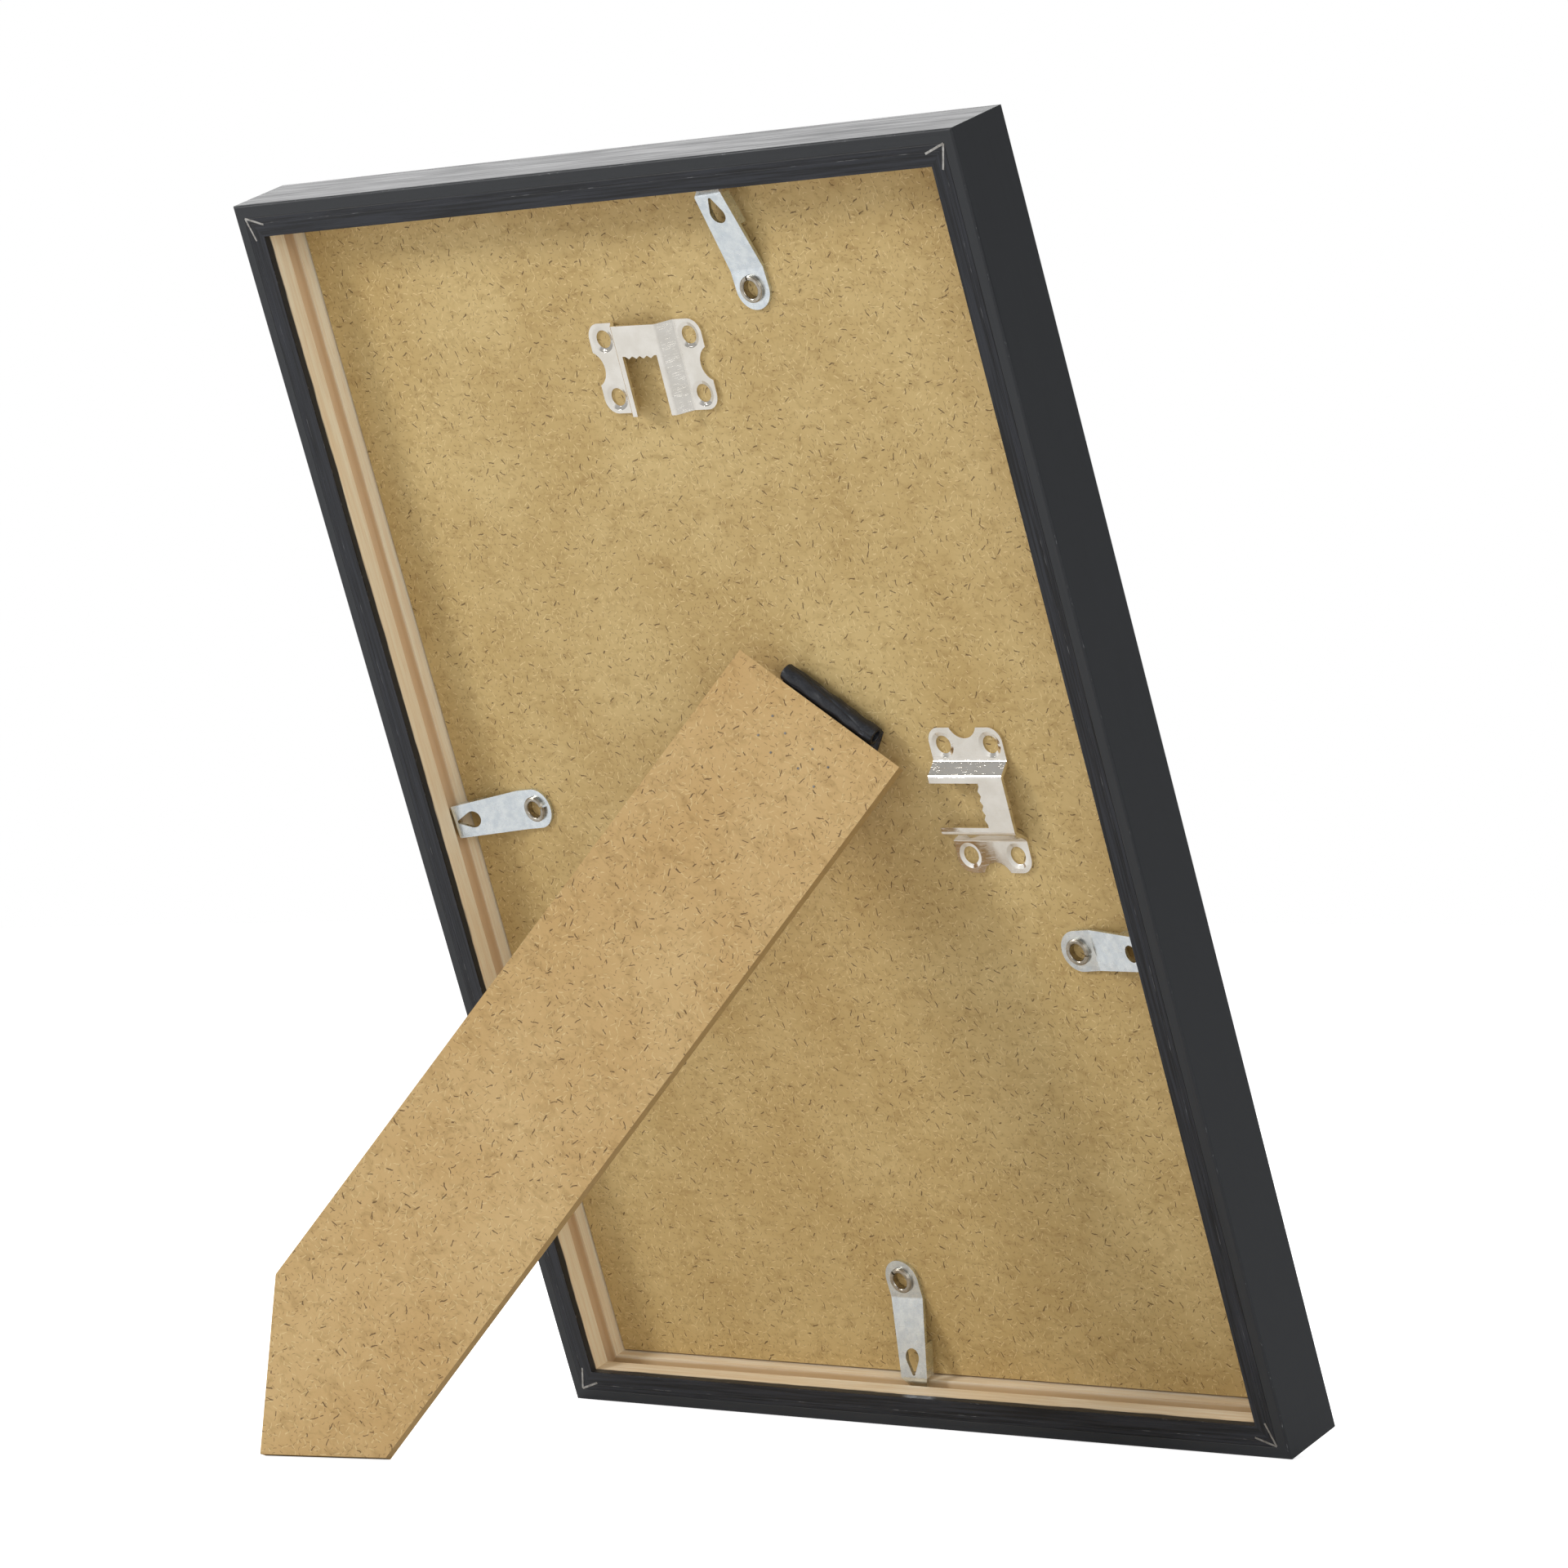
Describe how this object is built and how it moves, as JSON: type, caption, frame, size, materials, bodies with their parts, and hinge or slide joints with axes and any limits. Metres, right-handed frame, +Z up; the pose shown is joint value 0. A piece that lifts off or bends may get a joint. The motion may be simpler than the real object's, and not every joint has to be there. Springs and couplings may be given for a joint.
{
  "type": "easel back photo frame",
  "caption": "Standing picture frame with a hinged fibreboard leg, turn clips over a backing board and toothed hangers for a wall nail.",
  "frame": {"origin": "centre of the base: the middle of the box round the standing frame, on the floor", "axes": "+Z up, front faces -Y and leans back towards +Y, the leg stands behind at +Y, +X to the viewer's right from the front"},
  "size_m": [0.227, 0.1627, 0.2986],
  "materials": {
    "painted_moulding": "black painted wood moulding",
    "zinc_clip": "bright zinc plated",
    "nickel_eyelet": "nickel plated",
    "nickel_hanger": "nickel plated, bright",
    "steel_wire": "plain steel",
    "strap": "black coated strap",
    "clear_sheet": "clear",
    "insert_paper": "plain, matt",
    "fibreboard": "smooth hard fibreboard"
  },
  "bodies": {
    "frame": {"backing_board": "fibreboard", "clip_eyelet_bottom": "nickel_eyelet", "clip_eyelet_left": "nickel_eyelet", "clip_eyelet_right": "nickel_eyelet", "clip_eyelet_top": "nickel_eyelet", "corner_v_nails": "steel_wire", "glazing": "clear_sheet", "insert_sheet": "insert_paper", "rail_bottom": "painted_moulding", "rail_left": "painted_moulding", "rail_right": "painted_moulding", "rail_top": "painted_moulding", "sawtooth_hanger_landscape": "nickel_hanger", "sawtooth_hanger_portrait": "nickel_hanger", "strap_board_flap": "strap", "strap_board_staples": "steel_wire"},
    "easel": {"easel_leg": "fibreboard", "strap_leg_flap": "strap", "strap_leg_staples": "steel_wire"},
    "clip_top": {"turn_clip_top": "zinc_clip"},
    "clip_left": {"turn_clip_left": "zinc_clip"},
    "clip_right": {"turn_clip_right": "zinc_clip"},
    "clip_bottom": {"turn_clip_bottom": "zinc_clip"}
  },
  "joints": [
    {"name": "easel_hinge", "type": "hinge", "parent": "frame", "child": "easel", "pos_m": [-0.02632, -0.00695, 0.17198], "axis": [-0.8007, -0.2195, -0.5573], "range_deg": [0, 41.78]},
    {"name": "clip_turn_top", "type": "hinge", "parent": "frame", "child": "clip_top", "pos_m": [-0.034, 0.02659, 0.26477], "axis": [0, 0.9304, -0.3665], "range_deg": [-90, 90]},
    {"name": "clip_turn_left", "type": "hinge", "parent": "frame", "child": "clip_left", "pos_m": [0.0812, -0.01911, 0.14874], "axis": [0, 0.9304, -0.3665], "range_deg": [-90, 90]},
    {"name": "clip_turn_right", "type": "hinge", "parent": "frame", "child": "clip_right", "pos_m": [-0.0792, -0.03219, 0.11553], "axis": [0, 0.9304, -0.3665], "range_deg": [-90, 90]},
    {"name": "clip_turn_bottom", "type": "hinge", "parent": "frame", "child": "clip_bottom", "pos_m": [0.0027, -0.06371, 0.03551], "axis": [0, 0.9304, -0.3665], "range_deg": [-90, 90]}
  ]
}
